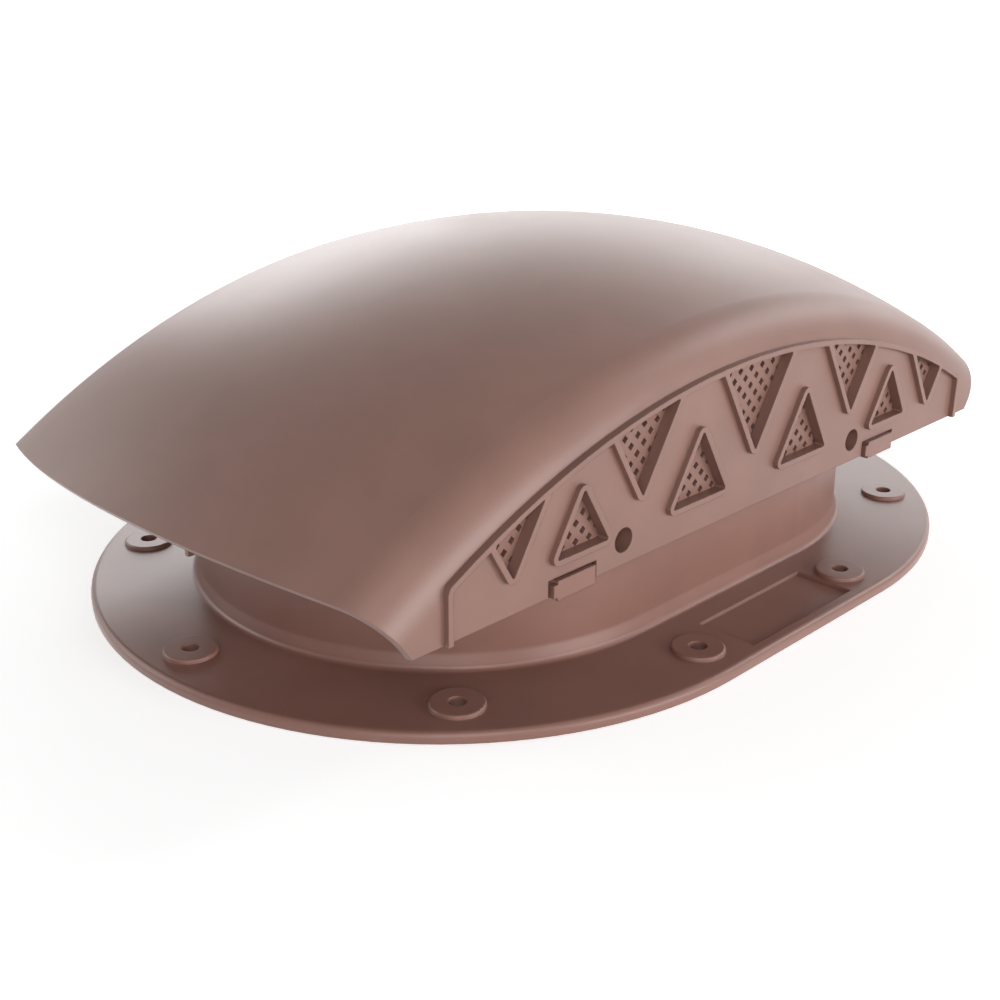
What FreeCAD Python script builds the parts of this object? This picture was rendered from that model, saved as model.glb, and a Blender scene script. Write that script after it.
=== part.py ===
# Roof vent: a screw-down base with an obround neck, and a domed hood with a grille at the front and the rear.
# Millimetres, +Z up. X runs along the grille faces and the front faces -Y.
# The origin is the middle of the flange's underside.
import FreeCAD, Part
import math
import os

# Neck that carries the hood and keeps the water out
NECK_LENGTH = 298.0
NECK_WIDTH = 200.0
NECK_WALL = 2.8
NECK_DRAFT_ANGLE = 1.0
NECK_FOOT_ROUND = 2.2
NECK_FLARE = 0.8
NECK_FLARE_HEIGHT = 6.0
NECK_LAP = 39.0

# Flange round the neck's foot
FLANGE_BORDER = 41.0
FLANGE_THICKNESS = 4.0
FLANGE_EDGE_ROUND = 2.1

# Screw pads round the flange
PAD_DIAMETER = 19.2
PAD_HEIGHT = 1.5
PAD_EDGE_CHAMFER = 0.5
PAD_EDGE_INSET = 17.3
SIDE_PAD_INSET = 3.5
END_PAD_ANGLE = 48.0
SCREW_HOLE_DIAMETER = 6.4

# Bare plate sunk in the flange between the front pads
PLATE_DEPTH = 1.2
PLATE_LEFT_GAP = 6.6
PLATE_RIGHT_GAP = 1.6
PLATE_EDGE_INSET = 5.2
PLATE_NECK_GAP = 12.0

# Hood shell: a channel section turned about an axis along Y, far below the roof
HOOD_WALL = 2.2
HOOD_SIDE_GAP = 6.4
HOOD_END_REACH = 16.5
HOOD_EDGE_HEIGHT = 39.9
HOOD_CROWN_RISE = 30.8
HOOD_SHOULDER_RADIUS = 22.0
ARCH_RADIUS = 342.1
CROWN_RADIUS = 290.7
END_BOW = 14.3

# Stiffening rib in the middle of each open end of the hood
END_RIB_REACH = 22.0
END_RIB_THICKNESS = 2.0

# Raised rim round the grille
RIM_TOP_RISE = 59.0
RIM_END_INSET = 12.7
RIM_WIDTH = 2.1
RIM_HEIGHT = 2.2
RIM_CORNER_ROUND = 4.0

# Triangular openings: rises are above the hood's edge, drops are below the rim's inner arch
TRIANGLE_SIDE_ANGLE = 30.6
END_TRIANGLE_INSET = 27.5
END_TRIANGLE_WEB = 16.7
UPRIGHT_BASE_RISE = 13.1
INNER_UPRIGHT_DROP = 16.5
OUTER_UPRIGHT_DROP = 7.8
HANGING_TIP_RISE = 23.2
END_HANGING_TIP_RISE = 13.0
TRIANGLE_CORNER_CUT = 0.9
BORDER_CORNER_ROUND = 3.0

# Insect screen behind each grille
SCREEN_THICKNESS = 2.0
SCREEN_MARGIN = 3.0
SCREEN_COLUMN_STEP = 3.3
SCREEN_ROW_STEP = 3.26
SCREEN_ROW_RISE = 21.0
SCREEN_HOLE_DIAGONAL = 3.0
SCREEN_HOLE_INSET = 1.1

# Screw wells that join the hood to the neck, beside the outer upright triangles
WELL_ASIDE = 10.0
WELL_RISE = 9.0
WELL_DIAMETER = 9.0
WELL_WALL = 1.8
WELL_FLOOR = 2.0
WELL_SCREW_DIAMETER = 4.2
NECK_PILOT_DIAMETER = 3.2

# Clips on the neck that sit in notches of the hood's edge under the outer upright triangles
CLIP_WIDTH = 18.2
CLIP_SHIFT = -1.8
CLIP_PROUD = 1.3
CLIP_DROP = 1.6
CLIP_WALL = 2.2
CLIP_TOP_GAP = 0.7
CLIP_EAR_WIDTH = 1.8
CLIP_EAR_INSET = 1.2
NOTCH_HEIGHT = 6.1
NOTCH_LEFT_ROOM = 3.2
NOTCH_RIGHT_ROOM = 1.8

# Clearance between separate mouldings, how far a cutting body runs past what it cuts, the flats that make up
# a round along the base's outline, and the match of two heights
FIT_GAP = 0.3
OVERRUN = 5.0
ROUND_FLATS = 4
SAME_HEIGHT = 1e-6

# Worked out from the sizes above: the base
END_CENTRE_X = (NECK_LENGTH - NECK_WIDTH) / 2
NECK_RADIUS = NECK_WIDTH / 2
NECK_HEIGHT = HOOD_EDGE_HEIGHT + NECK_LAP
FLANGE_RADIUS = NECK_RADIUS + FLANGE_BORDER
PAD_CIRCLE_RADIUS = FLANGE_RADIUS - PAD_EDGE_INSET
PAD_TOP = FLANGE_THICKNESS + PAD_HEIGHT
SIDE_PAD_X = END_CENTRE_X - SIDE_PAD_INSET

# The hood's shell
FACE_Y = NECK_RADIUS + HOOD_SIDE_GAP + HOOD_WALL
HOOD_DEPTH = 2 * FACE_Y
RIM_TOP_HEIGHT = HOOD_EDGE_HEIGHT + RIM_TOP_RISE
HOOD_TOP_HEIGHT = RIM_TOP_HEIGHT + HOOD_CROWN_RISE
ARCH_AXIS_Z = HOOD_TOP_HEIGHT - ARCH_RADIUS
CROWN_CENTRE_RADIUS = ARCH_RADIUS - CROWN_RADIUS
SHOULDER_CENTRE_Y = FACE_Y - HOOD_SHOULDER_RADIUS
SHOULDER_REACH = CROWN_RADIUS - HOOD_SHOULDER_RADIUS
SHOULDER_CENTRE_RADIUS = CROWN_CENTRE_RADIUS + math.sqrt(SHOULDER_REACH ** 2 - SHOULDER_CENTRE_Y ** 2)
END_CORNER_X = NECK_LENGTH / 2 + HOOD_END_REACH
END_ANGLE = math.atan2(END_CORNER_X, HOOD_EDGE_HEIGHT - ARCH_AXIS_Z)

# The grille
RIM_HALF_LENGTH = END_CORNER_X - RIM_END_INSET
RIM_ARCH_RADIUS = RIM_TOP_HEIGHT - ARCH_AXIS_Z
INNER_ARCH_RADIUS = RIM_ARCH_RADIUS - RIM_WIDTH
SIDE_TANGENT = math.tan(math.radians(TRIANGLE_SIDE_ANGLE))
SIDE_SINE = math.sin(math.radians(TRIANGLE_SIDE_ANGLE))
SIDE_COSINE = math.cos(math.radians(TRIANGLE_SIDE_ANGLE))
UPRIGHT_BASE = HOOD_EDGE_HEIGHT + UPRIGHT_BASE_RISE
HANGING_TIP = HOOD_EDGE_HEIGHT + HANGING_TIP_RISE
END_HANGING_TIP = HOOD_EDGE_HEIGHT + END_HANGING_TIP_RISE
WELL_HEIGHT = HOOD_EDGE_HEIGHT + WELL_RISE
NOTCH_TOP = HOOD_EDGE_HEIGHT + NOTCH_HEIGHT

Vector = FreeCAD.Vector
ORIGIN = Vector(0, 0, 0)
X_AXIS = Vector(1, 0, 0)
Y_AXIS = Vector(0, 1, 0)
Z_AXIS = Vector(0, 0, 1)
SIDES = (-1, 1)


# General shapes

def line(start, end):
    """Straight edge between two points."""
    return Part.LineSegment(start, end).toShape()


def arc(start, middle, end):
    """Circular edge through three points."""
    return Part.Arc(start, middle, end).toShape()


def polygon(points):
    """Edges of a closed outline of straight sides."""
    return [line(points[i - 1], points[i]) for i in range(len(points))]


def box(low, high):
    """Box between two corners."""
    size = high - low
    return Part.makeBox(size.x, size.y, size.z, low)


def cylinder_along(axis, start, length, diameter):
    """Cylinder of a length along an axis from its start point."""
    return Part.makeCylinder(diameter / 2, length, start, axis)


def obround_wire(radius, height):
    """Outline of two half circles about the end centres, joined by straight sides."""
    left = Vector(-END_CENTRE_X, 0, height)
    right = Vector(END_CENTRE_X, 0, height)
    side = Y_AXIS * radius
    out = X_AXIS * radius
    edges = [
        line(left - side, right - side),
        arc(right - side, right + out, right + side),
        line(right + side, left + side),
        arc(left + side, left - out, left - side),
    ]
    return Part.Wire(edges)


def front_and_rear(shape):
    """The front shape and its copy for the rear, half a turn about Z."""
    rear = shape.copy()
    rear.rotate(ORIGIN, Z_AXIS, 180)
    return [shape, rear]


def level_edges(body, height):
    """Edges of a body that lie flat at a height."""
    return [
        edge for edge in body.Edges
        if abs(edge.BoundBox.ZMin - height) < SAME_HEIGHT and edge.BoundBox.ZLength < SAME_HEIGHT
    ]


# Places that the base and the hood share

def neck_radius(height):
    """Outer radius of the drafted neck at a height."""
    return NECK_RADIUS - (height - FLANGE_THICKNESS) * math.tan(math.radians(NECK_DRAFT_ANGLE))


def neck_body(low, high, growth):
    """Drafted obround body that follows the neck's outer face, grown or shrunk sideways."""
    wires = [obround_wire(neck_radius(height) + growth, height) for height in (low, high)]
    return Part.makeLoft(wires, True, True)


def arch_height(radius, x):
    """Height at x of an arc about the arch's axis."""
    return ARCH_AXIS_Z + math.sqrt(radius ** 2 - x ** 2)


def triangle_rows():
    """Openings from the middle outwards: x, height of the tip, and whether the tip points up."""
    last_x = RIM_HALF_LENGTH - END_TRIANGLE_INSET
    spacing = last_x / 4
    inner_tip = arch_height(INNER_ARCH_RADIUS, spacing) - INNER_UPRIGHT_DROP
    outer_tip = arch_height(INNER_ARCH_RADIUS, 3 * spacing) - OUTER_UPRIGHT_DROP
    inner_step = (inner_tip - HANGING_TIP) * SIDE_TANGENT
    outer_step = (outer_tip - HANGING_TIP) * SIDE_TANGENT
    last_step = (outer_tip - END_HANGING_TIP) * SIDE_TANGENT + END_TRIANGLE_WEB / SIDE_COSINE
    web = (last_x - 2 * inner_step - outer_step - last_step) / 3
    inner_x = inner_step + web
    hanging_x = inner_x + inner_step + web
    outer_x = last_x - last_step
    right = [
        (inner_x, inner_tip, True),
        (hanging_x, HANGING_TIP, False),
        (outer_x, outer_tip, True),
        (last_x, END_HANGING_TIP, False),
    ]
    left = [(-x, tip, upright) for x, tip, upright in right]
    return [(0.0, HANGING_TIP, False)] + right + left


def outer_upright():
    """Middle and half width of the outer upright triangle on the right."""
    x, tip, _ = triangle_rows()[3]
    return x, (tip - UPRIGHT_BASE) * SIDE_TANGENT


def well_starts():
    """Points where the axes of the two front screw wells meet the hood's face."""
    x, half = outer_upright()
    return [Vector(side * (x - half - WELL_ASIDE), -FACE_Y, WELL_HEIGHT) for side in SIDES]


def clip_middles():
    """Middles of the two front clips along X, a little to the left of the triangles above them."""
    return [side * outer_upright()[0] + CLIP_SHIFT for side in SIDES]


# Base

def round_steps(radius):
    """Run and rise of points along a hollow quarter round, from its level end to its upright end."""
    turns = [math.pi / 2 * step / ROUND_FLATS for step in range(ROUND_FLATS + 1)]
    return [(radius * (1 - math.sin(turn)), radius * (1 - math.cos(turn))) for turn in turns]


def flange_plate():
    """Obround plate with a rounded upper edge."""
    wires = [obround_wire(FLANGE_RADIUS, 0)]
    for run, rise in reversed(round_steps(FLANGE_EDGE_ROUND)):
        wires.append(obround_wire(FLANGE_RADIUS - run, FLANGE_THICKNESS - rise))
    return Part.makeLoft(wires, True, True)


def neck_wall():
    """Solid of the drafted neck, flared at its foot and rounded into the flange."""
    foot_radius = NECK_RADIUS + NECK_FLARE
    wires = []
    for run, rise in round_steps(NECK_FOOT_ROUND):
        wires.append(obround_wire(foot_radius + run, FLANGE_THICKNESS + rise))
    for height in (FLANGE_THICKNESS + NECK_FLARE_HEIGHT, NECK_HEIGHT):
        wires.append(obround_wire(neck_radius(height), height))
    return Part.makeLoft(wires, True, True)


def pad_places():
    """Centres of the screw pads: two on each long side and three on each round end."""
    angle = math.radians(END_PAD_ANGLE)
    places = [Vector(side * SIDE_PAD_X, end * PAD_CIRCLE_RADIUS, 0) for side in SIDES for end in SIDES]
    for side in SIDES:
        for turn in (-angle, 0, angle):
            x = side * (END_CENTRE_X + PAD_CIRCLE_RADIUS * math.cos(turn))
            places.append(Vector(x, PAD_CIRCLE_RADIUS * math.sin(turn), 0))
    return places


def screw_pad(place):
    """Raised washer round one screw hole."""
    pad = cylinder_along(Z_AXIS, place, PAD_TOP, PAD_DIAMETER)
    return pad.makeChamfer(PAD_EDGE_CHAMFER, level_edges(pad, PAD_TOP))


def sunk_plate():
    """Shallow rectangular recess in the flange between the two front pads."""
    pad_edge = SIDE_PAD_X - PAD_DIAMETER / 2
    low = Vector(PLATE_LEFT_GAP - pad_edge, PLATE_EDGE_INSET - FLANGE_RADIUS, FLANGE_THICKNESS - PLATE_DEPTH)
    high = Vector(pad_edge - PLATE_RIGHT_GAP, -NECK_RADIUS - PLATE_NECK_GAP, FLANGE_THICKNESS + OVERRUN)
    return box(low, high)


def clip_arm(middle):
    """Front clip: a hollow block from the neck, open below and proud of the hood, with an ear at its left."""
    low = Vector(middle - CLIP_WIDTH / 2, -FACE_Y - CLIP_PROUD, HOOD_EDGE_HEIGHT - CLIP_DROP)
    high = Vector(middle + CLIP_WIDTH / 2, -NECK_RADIUS / 2, NOTCH_TOP - CLIP_TOP_GAP)
    wall = Vector(CLIP_WALL, CLIP_WALL, CLIP_WALL)
    hollow_low = low + wall - Z_AXIS * (CLIP_WALL + OVERRUN)
    hollow_high = high - wall + Y_AXIS * (CLIP_WALL + OVERRUN)
    ear_low = Vector(low.x - CLIP_EAR_WIDTH, low.y, low.z + CLIP_EAR_INSET)
    ear_high = Vector(low.x, low.y + CLIP_WALL, high.z - CLIP_EAR_INSET)
    return box(low, high).cut(box(hollow_low, hollow_high)).fuse(box(ear_low, ear_high))


def base():
    """Flange, neck, pads and clips, moulded in one piece."""
    pads = [screw_pad(place) for place in pad_places()]
    clips = [arm for middle in clip_middles() for arm in front_and_rear(clip_arm(middle))]
    body = flange_plate().fuse([neck_wall()] + pads + clips)
    duct = neck_body(-OVERRUN, NECK_HEIGHT + OVERRUN, -NECK_WALL)
    screws = [
        cylinder_along(Z_AXIS, place - Z_AXIS * OVERRUN, PAD_TOP + 2 * OVERRUN, SCREW_HOLE_DIAMETER)
        for place in pad_places()
    ]
    pilots = [cylinder_along(Y_AXIS, start, HOOD_DEPTH, NECK_PILOT_DIAMETER) for start in well_starts()]
    return body.cut([duct, sunk_plate()] + screws + pilots).removeSplitter()


# Hood

def section_point(y, radius):
    """Point of the hood's section in the middle plane, at a radius from the arch's axis."""
    return Vector(0, y, ARCH_AXIS_Z + radius)


def section_path(inset, foot_radius):
    """Section from the front foot over the crown to the rear foot, set in from the outer face."""
    shoulder = HOOD_SHOULDER_RADIUS - inset
    crown = CROWN_RADIUS - inset
    face = FACE_Y - inset
    tilt = math.atan2(SHOULDER_CENTRE_Y, SHOULDER_CENTRE_RADIUS - CROWN_CENTRE_RADIUS)
    half_turn = (math.pi / 2 + tilt) / 2
    meet_y = crown * math.sin(tilt)
    meet = CROWN_CENTRE_RADIUS + crown * math.cos(tilt)
    bend_y = SHOULDER_CENTRE_Y + shoulder * math.sin(half_turn)
    bend = SHOULDER_CENTRE_RADIUS + shoulder * math.cos(half_turn)
    front_foot = section_point(-face, foot_radius)
    front_shoulder = section_point(-face, SHOULDER_CENTRE_RADIUS)
    front_meet = section_point(-meet_y, meet)
    rear_meet = section_point(meet_y, meet)
    rear_shoulder = section_point(face, SHOULDER_CENTRE_RADIUS)
    rear_foot = section_point(face, foot_radius)
    return [
        line(front_foot, front_shoulder),
        arc(front_shoulder, section_point(-bend_y, bend), front_meet),
        arc(front_meet, section_point(0, CROWN_CENTRE_RADIUS + crown), rear_meet),
        arc(rear_meet, section_point(bend_y, bend), rear_shoulder),
        line(rear_shoulder, rear_foot),
    ]


def turned_body(inset):
    """Solid under the section's path, turned about the arch's axis past both ends."""
    foot_radius = (HOOD_EDGE_HEIGHT - ARCH_AXIS_Z) / 2
    half_sweep = math.degrees(END_ANGLE + 4 * END_BOW / ARCH_RADIUS)
    path = section_path(inset, foot_radius)
    start = path[0].Vertexes[0].Point
    end = path[-1].Vertexes[-1].Point
    face = Part.Face(Part.Wire(path + [line(end, start)]))
    centre = Vector(0, 0, ARCH_AXIS_Z)
    face.rotate(centre, Y_AXIS, -half_sweep)
    return face.revolve(centre, Y_AXIS, 2 * half_sweep)


def end_waste(side):
    """What lies beyond one bowed end, which is cut square to the arch."""
    radial = Vector(side * math.sin(END_ANGLE), 0, math.cos(END_ANGLE))
    outward = Vector(side * math.cos(END_ANGLE), 0, -math.sin(END_ANGLE))
    corner = Vector(side * END_CORNER_X, 0, HOOD_EDGE_HEIGHT)
    bow_radius = (FACE_Y ** 2 + END_BOW ** 2) / (2 * END_BOW)
    reach = FACE_Y + OVERRUN
    reach_bow = END_BOW - bow_radius + math.sqrt(bow_radius ** 2 - reach ** 2)
    depth = HOOD_TOP_HEIGHT
    origin = corner - radial * depth
    first = origin - Y_AXIS * reach + outward * reach_bow
    middle = origin + outward * END_BOW
    last = origin + Y_AXIS * reach + outward * reach_bow
    far = outward * HOOD_DEPTH
    edges = [
        arc(first, middle, last),
        line(last, last + far),
        line(last + far, first + far),
        line(first + far, first),
    ]
    return Part.Face(Part.Wire(edges)).extrude(radial * (2 * depth))


def below_edge():
    """Everything under the hood's lower edge."""
    reach = Vector(NECK_LENGTH, HOOD_DEPTH, 0)
    return box(Vector(0, 0, ARCH_AXIS_Z) - reach, Vector(0, 0, HOOD_EDGE_HEIGHT) + reach)


def end_rib(side):
    """Upright plate from the hood's lower edge to its roof, in the middle of one open end."""
    outer_x = NECK_LENGTH / 2 + END_RIB_REACH
    low_x, high_x = sorted([0, side * outer_x])
    half = END_RIB_THICKNESS / 2
    return box(Vector(low_x, -half, HOOD_EDGE_HEIGHT), Vector(high_x, half, HOOD_TOP_HEIGHT))


def face_prism(edges, back, front):
    """Front prism of a closed outline drawn at Y = 0, from a depth behind the face to one in front of it."""
    face = Part.Face(Part.Wire(edges))
    face.translate(Y_AXIS * (-FACE_Y - front))
    return face.extrude(Y_AXIS * (front + back))


def corners_along_y(body, lowest, furthest):
    """Edges of a front prism that run along Y, above a height and within a distance of the arch's axis."""
    corners = []
    for edge in body.Edges:
        bounds = edge.BoundBox
        along_y = bounds.XLength < SAME_HEIGHT and bounds.ZLength < SAME_HEIGHT
        distance = math.hypot(bounds.XMin, bounds.ZMin - ARCH_AXIS_Z)
        if along_y and bounds.ZMin > lowest and distance < furthest:
            corners.append(edge)
    return corners


def arched_outline(half, radius, foot):
    """Straight foot and ends under an arched top."""
    corner = arch_height(radius, half)
    left_foot = Vector(-half, 0, foot)
    right_foot = Vector(half, 0, foot)
    left_top = Vector(-half, 0, corner)
    right_top = Vector(half, 0, corner)
    top = Vector(0, 0, ARCH_AXIS_Z + radius)
    return [
        line(left_foot, right_foot),
        line(right_foot, right_top),
        arc(right_top, top, left_top),
        line(left_top, left_foot),
    ]


def side_meets_arch(x, tip, side, radius):
    """Point where a hanging triangle's side meets an arc about the arch's axis."""
    run = side * SIDE_TANGENT
    drop = tip - ARCH_AXIS_Z
    square = 1 + run ** 2
    linear = drop + run * x
    rise = (-linear + math.sqrt(linear ** 2 - square * (drop ** 2 + x ** 2 - radius ** 2))) / square
    return Vector(x + run * rise, 0, tip + rise)


def triangle_outline(x, tip, upright, growth, arch_growth):
    """Outline of one opening or of its border, grown sideways by a width."""
    shift = growth / SIDE_SINE
    if upright:
        apex = tip + shift
        foot = UPRIGHT_BASE - growth
        half = (apex - foot) * SIDE_TANGENT
        return polygon([Vector(x - half, 0, foot), Vector(x + half, 0, foot), Vector(x, 0, apex)])
    lowest = tip - shift
    radius = INNER_ARCH_RADIUS + arch_growth
    left = side_meets_arch(x, lowest, -1, radius)
    right = side_meets_arch(x, lowest, 1, radius)
    middle_x = (left.x + right.x) / 2
    middle = Vector(middle_x, 0, arch_height(radius, middle_x))
    point = Vector(x, 0, lowest)
    return [line(point, right), arc(right, middle, left), line(left, point)]


def raised_work():
    """Rim and triangle borders of the front face, before the openings are cut."""
    root = HOOD_SHOULDER_RADIUS / 2
    outline = arched_outline(RIM_HALF_LENGTH, RIM_ARCH_RADIUS, HOOD_EDGE_HEIGHT)
    rim = face_prism(outline, root, RIM_HEIGHT)
    rim = rim.makeFillet(RIM_CORNER_ROUND, corners_along_y(rim, HOOD_EDGE_HEIGHT, ARCH_RADIUS))
    outline = arched_outline(RIM_HALF_LENGTH - RIM_WIDTH, INNER_ARCH_RADIUS, HOOD_EDGE_HEIGHT - OVERRUN)
    hollow = face_prism(outline, root + OVERRUN, RIM_HEIGHT + OVERRUN)
    corners = corners_along_y(hollow, HOOD_EDGE_HEIGHT, ARCH_RADIUS)
    hollow = hollow.makeFillet(RIM_CORNER_ROUND - RIM_WIDTH, corners)
    borders = []
    for x, tip, upright in triangle_rows():
        outline = triangle_outline(x, tip, upright, RIM_WIDTH, RIM_WIDTH / 2)
        border = face_prism(outline, root, RIM_HEIGHT)
        corners = corners_along_y(border, HOOD_EDGE_HEIGHT, INNER_ARCH_RADIUS)
        borders.append(border.makeFillet(BORDER_CORNER_ROUND, corners))
    return rim.cut(hollow).fuse(borders)


def opening_cuts():
    """Cutting bodies of the front face's openings."""
    cuts = []
    for x, tip, upright in triangle_rows():
        outline = triangle_outline(x, tip, upright, 0, FIT_GAP)
        cut = face_prism(outline, HOOD_SHOULDER_RADIUS, RIM_HEIGHT + OVERRUN)
        corners = corners_along_y(cut, HOOD_EDGE_HEIGHT, ARCH_RADIUS)
        cuts.append(cut.makeChamfer(TRIANGLE_CORNER_CUT, corners))
    return cuts


def well_bosses():
    """Tubes behind the front face that reach the neck."""
    diameter = WELL_DIAMETER + 2 * WELL_WALL
    inside = Y_AXIS * (HOOD_WALL / 2)
    return [cylinder_along(Y_AXIS, start + inside, FACE_Y / 2, diameter) for start in well_starts()]


def well_cuts():
    """Front screw wells: a wide well with a floor, and the screw's hole through the floor."""
    cuts = []
    for start in well_starts():
        across = max(abs(start.x) - END_CENTRE_X, 0)
        neck_y = math.sqrt(neck_radius(WELL_HEIGHT) ** 2 - across ** 2)
        depth = FACE_Y - neck_y - FIT_GAP - WELL_FLOOR
        cuts.append(cylinder_along(Y_AXIS, start, depth, WELL_DIAMETER))
        cuts.append(cylinder_along(Y_AXIS, start, FACE_Y, WELL_SCREW_DIAMETER))
    return cuts


def clip_notch(middle):
    """Notch in the hood's front lower edge, with room beside the clip."""
    left = middle - CLIP_WIDTH / 2 - NOTCH_LEFT_ROOM
    right = middle + CLIP_WIDTH / 2 + NOTCH_RIGHT_ROOM
    low = Vector(left, -FACE_Y - RIM_HEIGHT - OVERRUN, HOOD_EDGE_HEIGHT - OVERRUN)
    high = Vector(right, -FACE_Y + HOOD_WALL + OVERRUN, NOTCH_TOP)
    return box(low, high)


def hood(outer, cavity):
    """Domed shell with a raised grille, screw wells and clip notches at the front and the rear."""
    shell = outer.cut([cavity, below_edge(), end_waste(-1), end_waste(1)])
    neck_room = neck_body(0, HOOD_TOP_HEIGHT, FIT_GAP)
    ribs = [end_rib(side).common(outer).cut(neck_room) for side in SIDES]
    work = raised_work().cut(turned_body(HOOD_WALL / 2))
    bosses = [boss.cut(neck_room) for boss in well_bosses()]
    added = [piece for shape in [work] + bosses for piece in front_and_rear(shape)]
    notches = [clip_notch(middle) for middle in clip_middles()]
    cuts = [piece for shape in opening_cuts() + well_cuts() + notches for piece in front_and_rear(shape)]
    return shell.fuse(ribs + added).cut(cuts).removeSplitter()


# Insect screens

def inside_opening(x, z, opening):
    """Whether a hole centred there clears the sides of an opening by the screen's inset."""
    centre, tip, upright = opening
    rise = tip - z if upright else z - tip
    if rise * SIDE_TANGENT - abs(x - centre) < SCREEN_HOLE_INSET / SIDE_COSINE:
        return False
    if upright:
        return z - UPRIGHT_BASE >= SCREEN_HOLE_INSET
    return INNER_ARCH_RADIUS - math.hypot(x, z - ARCH_AXIS_Z) >= SCREEN_HOLE_INSET


def screen_hole(x, z):
    """Cutting body of one diamond hole in the front screen."""
    half = SCREEN_HOLE_DIAGONAL / 2
    corners = [Vector(x - half, 0, z), Vector(x, 0, z - half), Vector(x + half, 0, z), Vector(x, 0, z + half)]
    return face_prism(polygon(corners), HOOD_WALL + SCREEN_THICKNESS + OVERRUN, 0)


def screen_holes():
    """Diamond holes in staggered rows, where they show through the openings."""
    openings = triangle_rows()
    middle_row = HOOD_EDGE_HEIGHT + SCREEN_ROW_RISE
    rows = int(RIM_TOP_RISE / SCREEN_ROW_STEP)
    columns = int(RIM_HALF_LENGTH / SCREEN_COLUMN_STEP)
    holes = []
    for row in range(-rows, rows + 1):
        z = middle_row + row * SCREEN_ROW_STEP
        for column in range(-columns, columns + 1):
            x = column * SCREEN_COLUMN_STEP
            staggered = (row + column) % 2 == 0
            if staggered and any(inside_opening(x, z, opening) for opening in openings):
                holes.append(screen_hole(x, z))
    return holes


def front_screen(cavity):
    """Perforated sheet against the inside of the front face, arched like the rim, with room for the wells."""
    x, tip, _ = triangle_rows()[4]
    half = side_meets_arch(x, tip, 1, INNER_ARCH_RADIUS).x + SCREEN_MARGIN
    foot = min(UPRIGHT_BASE, END_HANGING_TIP) - SCREEN_MARGIN
    outline = arched_outline(half, INNER_ARCH_RADIUS + RIM_WIDTH / 2, foot)
    sheet = face_prism(outline, HOOD_WALL + SCREEN_THICKNESS, -HOOD_WALL).common(cavity)
    diameter = WELL_DIAMETER + 2 * (WELL_WALL + FIT_GAP)
    room = [cylinder_along(Y_AXIS, start, FACE_Y, diameter) for start in well_starts()]
    return sheet.cut(room).cut(screen_holes())


def main():
    """Build each moulding and write it."""
    os.makedirs("parts", exist_ok=True)
    outer = turned_body(0)
    cavity = turned_body(HOOD_WALL)
    front, rear = front_and_rear(front_screen(cavity))
    parts = {"base": base(), "hood": hood(outer, cavity), "front_screen": front, "rear_screen": rear}
    for name, shape in parts.items():
        print(name, shape.isValid(), len(shape.Solids), "solids", len(shape.Faces), "faces")
        shape.exportStep(os.path.join("parts", name + ".step"))


main()
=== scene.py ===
import bpy
import math
from mathutils import Matrix, Vector

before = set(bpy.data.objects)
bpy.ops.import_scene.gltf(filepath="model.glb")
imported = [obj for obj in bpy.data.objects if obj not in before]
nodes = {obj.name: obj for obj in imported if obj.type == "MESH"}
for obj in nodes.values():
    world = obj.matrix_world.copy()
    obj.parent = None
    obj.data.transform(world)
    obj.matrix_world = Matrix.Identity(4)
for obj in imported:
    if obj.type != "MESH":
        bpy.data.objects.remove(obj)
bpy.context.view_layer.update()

# Camera, in metres and degrees: it looks down on the left front corner
CAMERA_PLACE = Vector((-0.4035, -0.3803, 0.2383))
CAMERA_AIM = Vector((-0.0091, 0.0106, 0.0110))
CAMERA_ROLL = 0.29
CAMERA_LENS_MM = 50.34
CAMERA_SENSOR_MM = 36.0

# Studio: a pale floor that turns white away from the part, a white surround and soft boxes
FLOOR_REACH = 40.0
FLOOR_DROP = 0.0003
FLOOR_COLOUR = (0.8, 0.8, 0.8, 1.0)
NEAR_GLOW = 0.5
FAR_GLOW = 1.0
NEAR_DISTANCE = 0.25
FAR_DISTANCE = 0.6
WORLD_SEEN = 1.0
WORLD_LIGHT = 0.12
WHITE = (1.0, 1.0, 1.0, 1.0)
LIGHT_AIM = Vector((0.0, 0.0, 0.06))

# Plastic colours, in linear light, and the faint clouds in them
HOOD_BROWN = (0.193, 0.101, 0.0795, 1.0)
BASE_BROWN = (0.193, 0.0935, 0.0725, 1.0)
SCREEN_BROWN = (0.183, 0.094, 0.0735, 1.0)
# Painted shade: near-black brown for the lattice holes that the screens' shape leaves out
PAINTED_HOLE_SHADE = (0.04, 0.02, 0.016, 1.0)
CLOUD_SCALE = 38.0
CLOUD_LOW = 0.3
CLOUD_HIGH = 0.7
CLOUD_SPREAD = 0.06

# Gloss of the plastic, uneven from the flow in the mould, and its fine grain
PLASTIC_IOR = 1.5
GLOSS_LEVEL = 0.425
HOOD_ROUGHNESS = 0.42
BASE_ROUGHNESS = 0.38
SCREEN_ROUGHNESS = 0.45
FLOW_SCALE = 14.0
FLOW_SPREAD = 0.04
GRAIN_SCALE = 2200.0
GRAIN_DEPTH = 0.00006
MOULD_GRAIN = 0.35
SCREEN_GRAIN = 0.3

# Softness of edges, in metres: wider near the top of the flare at the neck's foot
HOOD_EDGE = 0.0005
BASE_EDGE = 0.0007
SCREEN_EDGE = 0.0003
FLARE_EDGE = 0.002
FLARE_TOP = 0.01
FLARE_NEAR = 0.0018
FLARE_FAR = 0.0028
EDGE_SAMPLES = 4

# Lattice of the screens, in metres: holes that the grille's borders would cut are dark marks of painted
# shade
LATTICE_COLUMN = 0.0033
LATTICE_ROW = 0.00326
LATTICE_HEIGHT = 0.0609
LATTICE_DIAGONAL = 0.0028
NEAREST_REACH = 0.5

# Sockets of a mix node for colours
MIX_FACTOR = 0
MIX_FIRST = 6
MIX_SECOND = 7
MIX_RESULT = 2


# Small helpers for node trees

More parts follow.
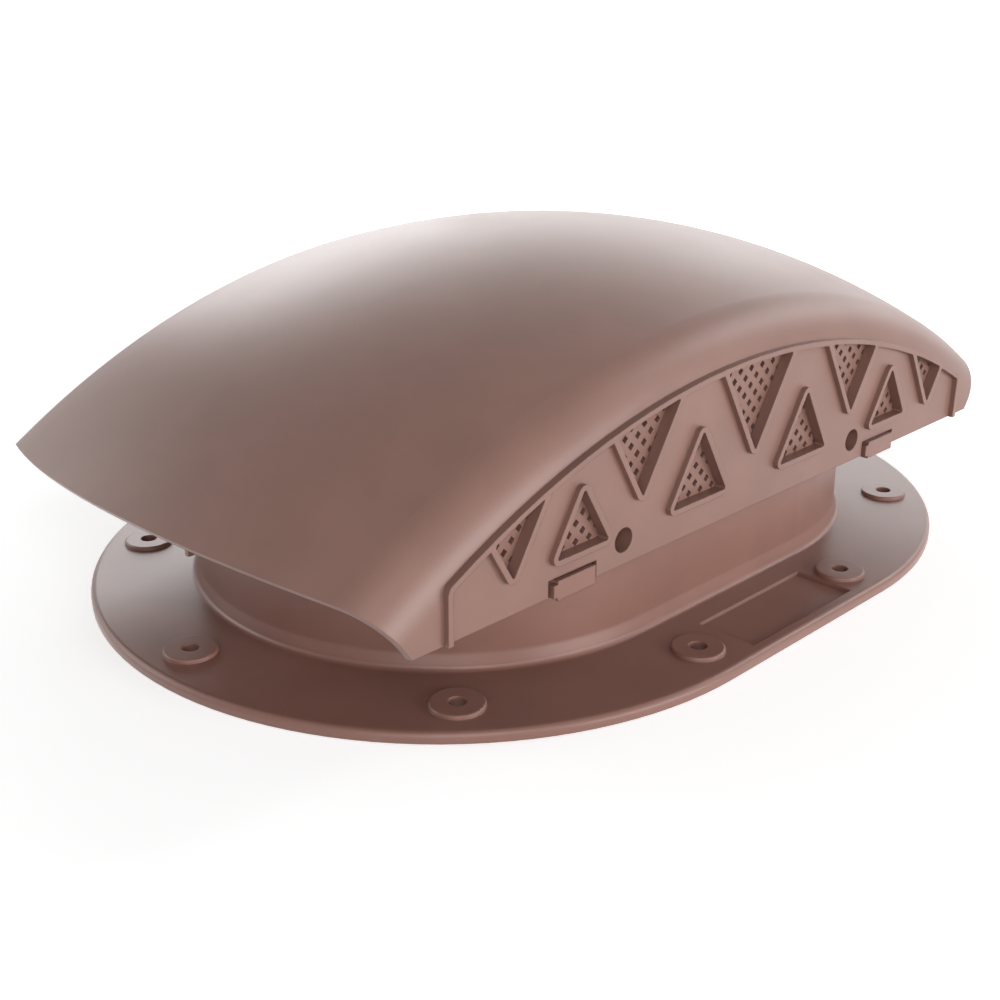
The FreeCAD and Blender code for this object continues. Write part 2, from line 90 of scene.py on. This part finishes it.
def new_material(name):
    """Empty node material with its output."""
    material = bpy.data.materials.new(name)
    material.use_nodes = True
    material.node_tree.nodes.clear()
    output = material.node_tree.nodes.new("ShaderNodeOutputMaterial")
    return material, material.node_tree, output


def add_node(tree, kind, **values):
    """New node with values for its inputs."""
    node = tree.nodes.new(kind)
    for name, value in values.items():
        node.inputs[name.replace("_", " ")].default_value = value
    return node


def calculate(tree, operation, first, second):
    """Output of a math node whose inputs are sockets or numbers."""
    node = tree.nodes.new("ShaderNodeMath")
    node.operation = operation
    for slot, value in zip(node.inputs, (first, second)):
        if isinstance(value, (int, float)):
            slot.default_value = value
        else:
            tree.links.new(value, slot)
    return node.outputs["Value"]


def axes_of(tree, place):
    """The three coordinates of a place, as sockets."""
    axes = tree.nodes.new("ShaderNodeSeparateXYZ")
    tree.links.new(place, axes.inputs["Vector"])
    return axes.outputs


def reflected(tree, rays):
    """One for rays that come by a reflection or through glass."""
    return calculate(tree, "MAXIMUM", rays.outputs["Is Glossy Ray"], rays.outputs["Is Transmission Ray"])


# Materials

def lattice_hole_shade(tree, place, colour_socket):
    """Colour with painted shade: dark diamonds in staggered rows, on the same lattice as the screen's
    holes, standing in for the shaded insides of holes the shape leaves out.
    """
    axes = axes_of(tree, place)
    column = calculate(tree, "DIVIDE", axes["X"], 2 * LATTICE_COLUMN)
    height = calculate(tree, "SUBTRACT", axes["Z"], LATTICE_HEIGHT)
    row = calculate(tree, "DIVIDE", height, 2 * LATTICE_ROW)
    reach = LATTICE_DIAGONAL / (4 * LATTICE_COLUMN)
    inside = []
    for slant in (calculate(tree, "ADD", column, row), calculate(tree, "SUBTRACT", column, row)):
        off_centre = calculate(tree, "PINGPONG", slant, NEAREST_REACH)
        inside.append(calculate(tree, "LESS_THAN", off_centre, reach))
    painted_hole_shade_mask = calculate(tree, "MULTIPLY", inside[0], inside[1])
    # Mix the painted shade into the colour inside each diamond
    mix = tree.nodes.new("ShaderNodeMix")
    mix.data_type = "RGBA"
    tree.links.new(painted_hole_shade_mask, mix.inputs[MIX_FACTOR])
    tree.links.new(colour_socket, mix.inputs[MIX_FIRST])
    mix.inputs[MIX_SECOND].default_value = PAINTED_HOLE_SHADE
    return mix.outputs[MIX_RESULT]


def base_edge(tree, place):
    """Softness of the base's edges, wider at the faint crease round the neck's foot."""
    height = calculate(tree, "SUBTRACT", axes_of(tree, place)["Z"], FLARE_TOP)
    spread = add_node(tree, "ShaderNodeMapRange", From_Min=FLARE_NEAR, From_Max=FLARE_FAR,
                      To_Min=FLARE_EDGE, To_Max=BASE_EDGE)
    tree.links.new(calculate(tree, "ABSOLUTE", height, 0.0), spread.inputs["Value"])
    return spread.outputs["Result"]


def moulded_plastic(name, colour, roughness, grain_bump, edge, pattern=None):
    """Satin injection-moulded plastic: faintly clouded colour, uneven sheen and fine spark-eroded grain."""
    material, tree, output = new_material(name)
    shader = add_node(tree, "ShaderNodeBsdfPrincipled", IOR=PLASTIC_IOR, Specular_IOR_Level=GLOSS_LEVEL)
    place = tree.nodes.new("ShaderNodeTexCoord").outputs["Object"]

    clouds = add_node(tree, "ShaderNodeTexNoise", Scale=CLOUD_SCALE, Detail=4.0, Roughness=0.55)
    tree.links.new(place, clouds.inputs["Vector"])
    tint = tree.nodes.new("ShaderNodeValToRGB")
    low, high = tint.color_ramp.elements
    low.position = CLOUD_LOW
    high.position = CLOUD_HIGH
    low.color = [c * (1 - CLOUD_SPREAD) for c in colour[:3]] + [1.0]
    high.color = [c * (1 + CLOUD_SPREAD) for c in colour[:3]] + [1.0]
    tree.links.new(clouds.outputs["Fac"], tint.inputs["Fac"])
    colour_socket = tint.outputs["Color"]
    if pattern:
        colour_socket = pattern(tree, place, colour_socket)
    tree.links.new(colour_socket, shader.inputs["Base Color"])

    flow = add_node(tree, "ShaderNodeTexNoise", Scale=FLOW_SCALE, Detail=3.0, Roughness=0.5)
    tree.links.new(place, flow.inputs["Vector"])
    sheen = add_node(tree, "ShaderNodeMapRange", To_Min=roughness - FLOW_SPREAD,
                     To_Max=roughness + FLOW_SPREAD)
    tree.links.new(flow.outputs["Fac"], sheen.inputs["Value"])
    tree.links.new(sheen.outputs["Result"], shader.inputs["Roughness"])

    grain = add_node(tree, "ShaderNodeTexNoise", Scale=GRAIN_SCALE, Detail=2.0, Roughness=0.6)
    tree.links.new(place, grain.inputs["Vector"])
    bump = add_node(tree, "ShaderNodeBump", Strength=grain_bump, Distance=GRAIN_DEPTH)
    tree.links.new(grain.outputs["Fac"], bump.inputs["Height"])
    soft_edge = tree.nodes.new("ShaderNodeBevel")
    soft_edge.samples = EDGE_SAMPLES
    if callable(edge):
        tree.links.new(edge(tree, place), soft_edge.inputs["Radius"])
    else:
        soft_edge.inputs["Radius"].default_value = edge
    tree.links.new(soft_edge.outputs["Normal"], bump.inputs["Normal"])
    tree.links.new(bump.outputs["Normal"], shader.inputs["Normal"])
    tree.links.new(shader.outputs["BSDF"], output.inputs["Surface"])
    return material


def floor_paper():
    """Matt pale paper: white from afar and in reflections, with the part's soft shadow close by."""
    material, tree, output = new_material("floor_paper")
    paper = add_node(tree, "ShaderNodeBsdfDiffuse", Color=FLOOR_COLOUR)
    glow = add_node(tree, "ShaderNodeEmission", Color=WHITE)
    place = tree.nodes.new("ShaderNodeNewGeometry")
    distance = tree.nodes.new("ShaderNodeVectorMath")
    distance.operation = "LENGTH"
    tree.links.new(place.outputs["Position"], distance.inputs[0])
    spread = add_node(tree, "ShaderNodeMapRange", From_Min=NEAR_DISTANCE, From_Max=FAR_DISTANCE,
                      To_Min=NEAR_GLOW, To_Max=FAR_GLOW)
    spread.interpolation_type = "SMOOTHSTEP"
    tree.links.new(distance.outputs["Value"], spread.inputs["Value"])
    rays = tree.nodes.new("ShaderNodeLightPath")
    seen = calculate(tree, "MULTIPLY", rays.outputs["Is Camera Ray"], spread.outputs["Result"])
    tree.links.new(calculate(tree, "ADD", seen, reflected(tree, rays)), glow.inputs["Strength"])
    both = tree.nodes.new("ShaderNodeAddShader")
    tree.links.new(paper.outputs["BSDF"], both.inputs[0])
    tree.links.new(glow.outputs["Emission"], both.inputs[1])
    tree.links.new(both.outputs["Shader"], output.inputs["Surface"])
    return material


# Stage

def look_from(place, aim, roll=0.0):
    """Matrix of a camera or lamp at a place, aimed at a point, with a roll in degrees."""
    turn = (aim - place).to_track_quat("-Z", "Y").to_matrix().to_4x4()
    return Matrix.Translation(place) @ turn @ Matrix.Rotation(math.radians(roll), 4, "Z")


def add_object(name, data):
    """New object in the scene."""
    item = bpy.data.objects.new(name, data)
    bpy.context.scene.collection.objects.link(item)
    return item


def add_camera():
    """Camera at the photograph's viewing angle."""
    data = bpy.data.cameras.new("photo_camera")
    data.sensor_width = CAMERA_SENSOR_MM
    data.sensor_height = CAMERA_SENSOR_MM
    data.lens = CAMERA_LENS_MM
    camera = add_object("photo_camera", data)
    camera.matrix_world = look_from(CAMERA_PLACE, CAMERA_AIM, CAMERA_ROLL)
    bpy.context.scene.camera = camera


def add_floor():
    """Wide pale floor just under the flange."""
    mesh = bpy.data.meshes.new("floor")
    turns = ((-1, -1), (1, -1), (1, 1), (-1, 1))
    corners = [(x * FLOOR_REACH, y * FLOOR_REACH, -FLOOR_DROP) for x, y in turns]
    mesh.from_pydata(corners, [], [(0, 1, 2, 3)])
    floor = add_object("floor", mesh)
    mesh.materials.append(floor_paper())


def add_softbox(name, place, width, height, watts, card=False):
    """Rectangular soft light aimed at the part, or a bright card that only shows in its reflections."""
    data = bpy.data.lights.new(name, "AREA")
    data.shape = "RECTANGLE"
    data.size = width
    data.size_y = height
    data.energy = watts
    lamp = add_object(name, data)
    lamp.matrix_world = look_from(Vector(place), LIGHT_AIM)
    lamp.visible_camera = False
    lamp.visible_diffuse = not card


def add_world():
    """White surround for the camera and for reflections, and an even soft light from all round."""
    world = bpy.data.worlds.new("studio")
    bpy.context.scene.world = world
    world.use_nodes = True
    tree = world.node_tree
    tree.nodes.clear()
    output = tree.nodes.new("ShaderNodeOutputWorld")
    seen = add_node(tree, "ShaderNodeBackground", Color=WHITE, Strength=WORLD_SEEN)
    light = add_node(tree, "ShaderNodeBackground", Color=WHITE, Strength=WORLD_LIGHT)
    rays = tree.nodes.new("ShaderNodeLightPath")
    mix = tree.nodes.new("ShaderNodeMixShader")
    shown = calculate(tree, "MAXIMUM", rays.outputs["Is Camera Ray"], reflected(tree, rays))
    tree.links.new(shown, mix.inputs["Fac"])
    tree.links.new(light.outputs["Background"], mix.inputs[1])
    tree.links.new(seen.outputs["Background"], mix.inputs[2])
    tree.links.new(mix.outputs["Shader"], output.inputs["Surface"])


def dress(node, material):
    """Give a CAD node its material."""
    slots = nodes[node].data.materials
    slots.clear()
    slots.append(material)


hood_plastic = moulded_plastic("hood_plastic", HOOD_BROWN, HOOD_ROUGHNESS, MOULD_GRAIN, HOOD_EDGE)
base_plastic = moulded_plastic("base_plastic", BASE_BROWN, BASE_ROUGHNESS, MOULD_GRAIN, base_edge)
# The screens' colour carries painted shade where lattice holes are left out of the shape
screen_plastic = moulded_plastic("screen_plastic", SCREEN_BROWN, SCREEN_ROUGHNESS, SCREEN_GRAIN,
                                 SCREEN_EDGE, pattern=lattice_hole_shade)
dress("hood", hood_plastic)
dress("base", base_plastic)
dress("front_screen", screen_plastic)
dress("rear_screen", screen_plastic)

add_camera()
add_floor()
add_world()

# Soft boxes on the front and the left
add_softbox("left_front_box", place=(-1.1, -1.0, 0.3), width=0.8, height=0.5, watts=6.2)
add_softbox("left_high_box", place=(-0.9, -1.2, 1.0), width=0.6, height=0.6, watts=7.0)
add_softbox("front_box", place=(0.3, -1.5, 0.25), width=1.2, height=0.5, watts=19.0)

# Soft boxes on the right, with a card for the bright line along the rounded edges
add_softbox("right_small_box", place=(1.2, -0.48, 0.8), width=0.35, height=0.35, watts=2.5)
add_softbox("right_small_card", place=(1.2, -0.48, 0.8), width=0.35, height=0.35, watts=5.0, card=True)
add_softbox("right_box", place=(1.6, 0.2, 0.6), width=1.0, height=1.0, watts=4.6)

# Soft boxes behind, for the sheen along the far edge of the dome
add_softbox("rear_left_box", place=(-0.62, 1.58, 0.65), width=0.9, height=0.9, watts=4.8)
add_softbox("rear_side_box", place=(-1.1, 1.2, 0.65), width=0.7, height=0.9, watts=6.0)
add_softbox("rear_right_box", place=(0.8, 1.5, 0.65), width=0.8, height=0.9, watts=9.0)
add_softbox("far_right_box", place=(1.39, 0.98, 0.65), width=0.8, height=0.9, watts=5.8)

bpy.context.scene.view_settings.view_transform = "Standard"
